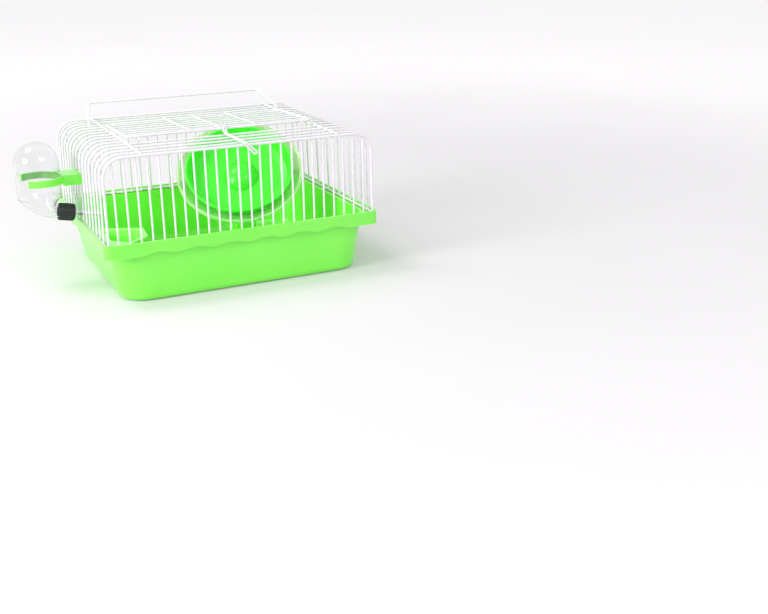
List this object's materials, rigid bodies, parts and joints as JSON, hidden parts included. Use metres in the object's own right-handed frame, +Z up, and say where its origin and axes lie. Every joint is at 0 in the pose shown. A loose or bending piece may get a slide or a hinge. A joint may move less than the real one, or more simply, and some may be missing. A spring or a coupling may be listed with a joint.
{
  "type": "hamster_cage",
  "caption": "Small hamster cage with a deep green plastic tray, white wire top with a lifting door and handle, saucer wheel, food cup and outside water bottle",
  "frame": {"origin": "centre of the tray's flat underside", "axes": "+X along the cage to the right, +Y from the front to the back, +Z up"},
  "size_m": [0.3105, 0.2082, 0.147],
  "materials": {
    "green_plastic": "smooth bright green moulded plastic",
    "clear_plastic": "clear moulded plastic",
    "white_wire": "white plastic coated steel wire",
    "black_plastic": "black moulded plastic, ribbed",
    "seal_rubber": "soft black rubber",
    "spout_steel": "bright stainless tube",
    "axle_steel": "plated steel"
  },
  "bodies": {
    "tray_body": {"tray": "green_plastic", "wheel_stand": "green_plastic", "wheel_axle": "axle_steel", "wheel_clip": "axle_steel"},
    "wire_top": {"base_frame": "white_wire", "front_hoop": "white_wire", "back_hoop": "white_wire", "front_top_hoops": "white_wire", "back_top_hoops": "white_wire", "door_side_hoops": "white_wire", "front_bars": "white_wire", "back_bars": "white_wire", "opening_side_bars": "white_wire"},
    "door": {"door_frame": "white_wire", "door_bars": "white_wire", "door_cross_bars": "white_wire", "door_feet": "white_wire", "door_eyes": "white_wire"},
    "door_latch": {"latch": "white_wire", "latch_eyes": "white_wire"},
    "carry_handle": {"handle": "white_wire", "handle_eyes": "white_wire"},
    "wheel": {"wheel_dish": "green_plastic", "wheel_saucer": "clear_plastic", "wheel_hub": "green_plastic", "wheel_hub_cap": "green_plastic"},
    "cup": {"food_cup": "green_plastic"},
    "bottle_unit": {"bottle": "clear_plastic", "bottle_seal": "seal_rubber", "bottle_holder": "green_plastic"},
    "cap_unit": {"bottle_cap": "black_plastic", "spout": "spout_steel"},
    "ball": {"spout_ball": "spout_steel"}
  },
  "joints": [
    {"name": "wire_top_lift", "type": "slide", "parent": "tray_body", "child": "wire_top", "axis": [0, 0, 1], "range_m": [0, 0.15]},
    {"name": "door_hinge", "type": "hinge", "parent": "wire_top", "child": "door", "pos_m": [0, 0.0462, 0.131], "axis": [-1, 0, 0], "range_deg": [0, 100]},
    {"name": "latch_hinge", "type": "hinge", "parent": "door", "child": "door_latch", "pos_m": [0.0008, -0.0435, 0.137], "axis": [-1, 0, 0], "range_deg": [0, 110]},
    {"name": "handle_hinge", "type": "hinge", "parent": "wire_top", "child": "carry_handle", "pos_m": [0, 0.0726, 0.131], "axis": [1, 0, 0], "range_deg": [0, 70]},
    {"name": "wheel_spin", "type": "hinge", "parent": "tray_body", "child": "wheel", "pos_m": [0.0305, 0.005, 0.0839], "axis": [-0.249, -0.5809, 0.7749], "continuous": true},
    {"name": "cup_lift", "type": "slide", "parent": "tray_body", "child": "cup", "axis": [0, 0, 1], "range_m": [0, 0.035]},
    {"name": "bottle_pull", "type": "slide", "parent": "wire_top", "child": "bottle_unit", "axis": [-1, 0, 0], "range_m": [0, 0.04]},
    {"name": "cap_turn", "type": "hinge", "parent": "bottle_unit", "child": "cap_unit", "pos_m": [-0.1484, 0, 0.0673], "axis": [0.9833, 0, -0.1822], "range_deg": [0, 360]},
    {"name": "ball_push", "type": "slide", "parent": "cap_unit", "child": "ball", "axis": [-0.9833, 0, 0.1822], "range_m": [0, 0.0012]}
  ]
}
